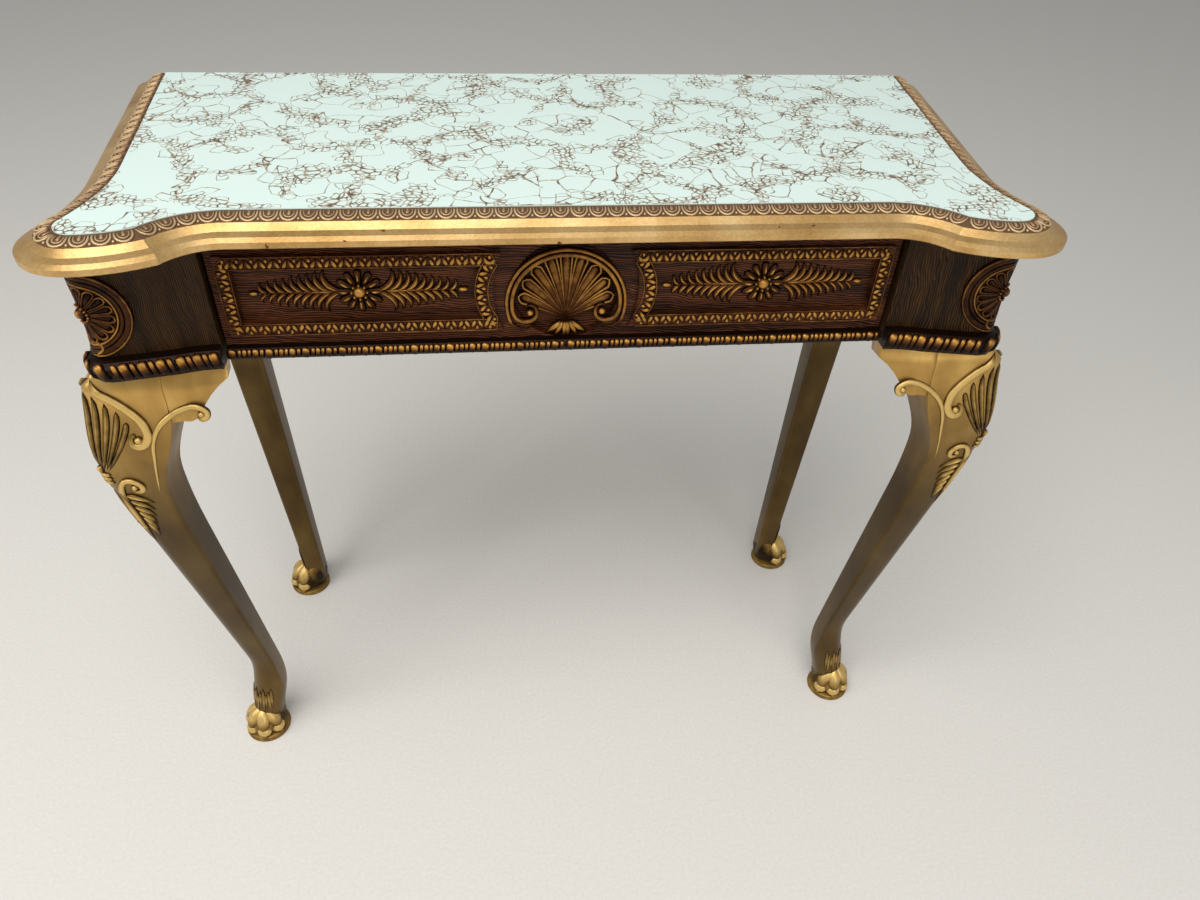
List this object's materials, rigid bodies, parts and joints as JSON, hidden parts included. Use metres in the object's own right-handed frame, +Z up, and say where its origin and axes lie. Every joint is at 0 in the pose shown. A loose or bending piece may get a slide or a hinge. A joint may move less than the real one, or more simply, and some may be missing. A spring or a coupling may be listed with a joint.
{
  "type": "pier table",
  "caption": "Gilt pier table with a lobed mirror-glass top, carved frieze drawer, cabriole front legs with paw feet and plain tapered back legs.",
  "frame": {"origin": "on the floor, under the middle of the table's outer box", "axes": "+Z up, +X to the right of someone facing the front, -Y towards them, so the flat back faces +Y"},
  "size_m": [0.868, 0.384, 0.76],
  "materials": {
    "veined_mirror": "pale veined antique mirror glass",
    "light_gilt": "gilt wood, light and worn",
    "antique_gilt": "antique gilt wood, toned dark",
    "bronze_gilt": "carved wood, bronzed and rubbed with gilt",
    "dark_walnut": "dark walnut, waxed",
    "plain_wood": "plain unfinished wood",
    "screw_steel": "plain steel"
  },
  "bodies": {
    "table": {"back_apron": "plain_wood", "back_leg_left": "antique_gilt", "back_leg_right": "antique_gilt", "block_gadroon_left": "bronze_gilt", "block_gadroon_right": "bronze_gilt", "corner_block_left": "dark_walnut", "corner_block_right": "dark_walnut", "drawer_guide_left": "plain_wood", "drawer_guide_right": "plain_wood", "drawer_runner_left": "plain_wood", "drawer_runner_right": "plain_wood", "drawer_stops": "plain_wood", "front_leg_left": "antique_gilt", "front_leg_right": "antique_gilt", "front_rail": "plain_wood", "front_wing_left": "antique_gilt", "front_wing_right": "antique_gilt", "glass_top": "veined_mirror", "kicker_left": "plain_wood", "kicker_right": "plain_wood", "leaf_strip_front": "bronze_gilt", "leaf_strip_left": "bronze_gilt", "leaf_strip_right": "bronze_gilt", "leg_dowels": "plain_wood", "moulding_front": "light_gilt", "moulding_left": "light_gilt", "moulding_right": "light_gilt", "patera_left": "bronze_gilt", "patera_right": "bronze_gilt", "side_apron_left": "dark_walnut", "side_apron_right": "dark_walnut", "side_gadroon_left": "bronze_gilt", "side_gadroon_right": "bronze_gilt", "side_wing_left": "antique_gilt", "side_wing_right": "antique_gilt", "top_board": "plain_wood", "top_screws": "screw_steel"},
    "drawer": {"drawer_front": "dark_walnut", "drawer_side_left": "plain_wood", "drawer_side_right": "plain_wood", "drawer_back": "plain_wood", "drawer_bottom": "plain_wood", "panel_frame_left": "bronze_gilt", "panel_frame_right": "bronze_gilt", "rosette_spray_left": "bronze_gilt", "rosette_spray_right": "bronze_gilt", "shell": "bronze_gilt", "shell_ring": "bronze_gilt", "drawer_gadroon": "bronze_gilt"}
  },
  "joints": [
    {"name": "drawer_slide", "type": "slide", "parent": "table", "child": "drawer", "axis": [0, -1, 0], "range_m": [0, 0.19]}
  ]
}
